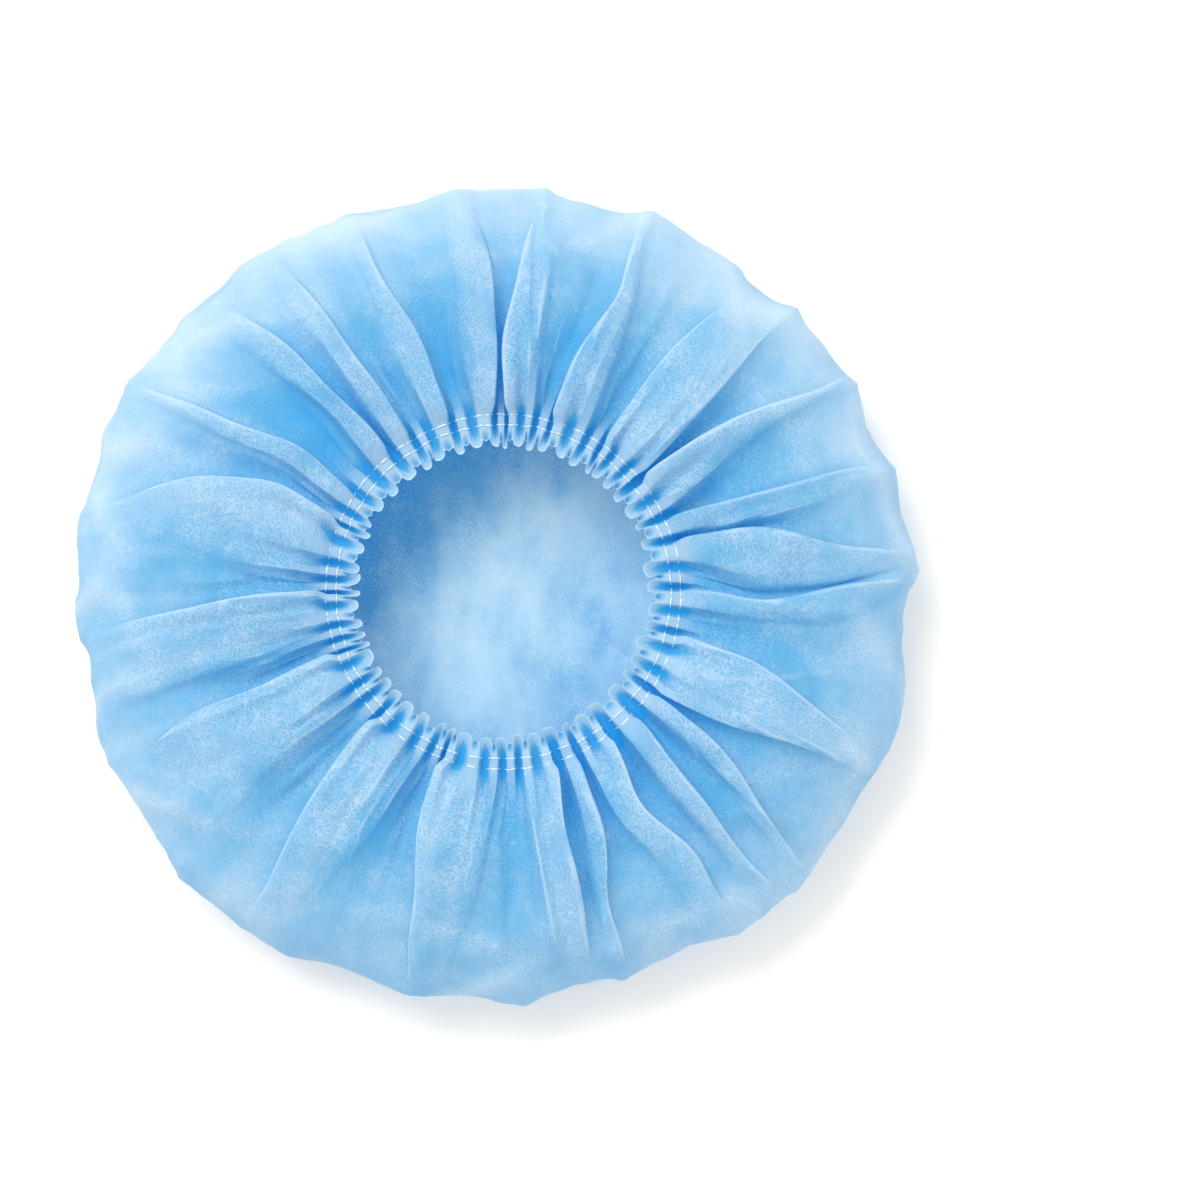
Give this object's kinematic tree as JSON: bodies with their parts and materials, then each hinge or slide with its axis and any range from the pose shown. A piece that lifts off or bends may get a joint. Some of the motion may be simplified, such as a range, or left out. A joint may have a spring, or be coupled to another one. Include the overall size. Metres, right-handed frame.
{
  "type": "disposable bouffant hairnet",
  "caption": "Round gathered hair cover of thin non-woven cloth, opened out on its crown, with a ruffled elastic mouth.",
  "frame": {"origin": "on the floor under the middle of the cap's bounds, where the crown rests", "axes": "+Z up out of the mouth, +X to the right and +Y up as the cap is seen from straight above"},
  "size_m": [0.2972, 0.2884, 0.0555],
  "materials": {
    "spunbond_cloth": "thin light blue spunbond polypropylene, matt and slightly see-through, with a fine random fibre pattern",
    "elastic": "pale covered elastic, matt",
    "stitch_thread": "fine white polyester sewing thread"
  },
  "bodies": {
    "root": {"cap_sheet": "spunbond_cloth", "elastic_band": "elastic"}
  },
  "joints": []
}
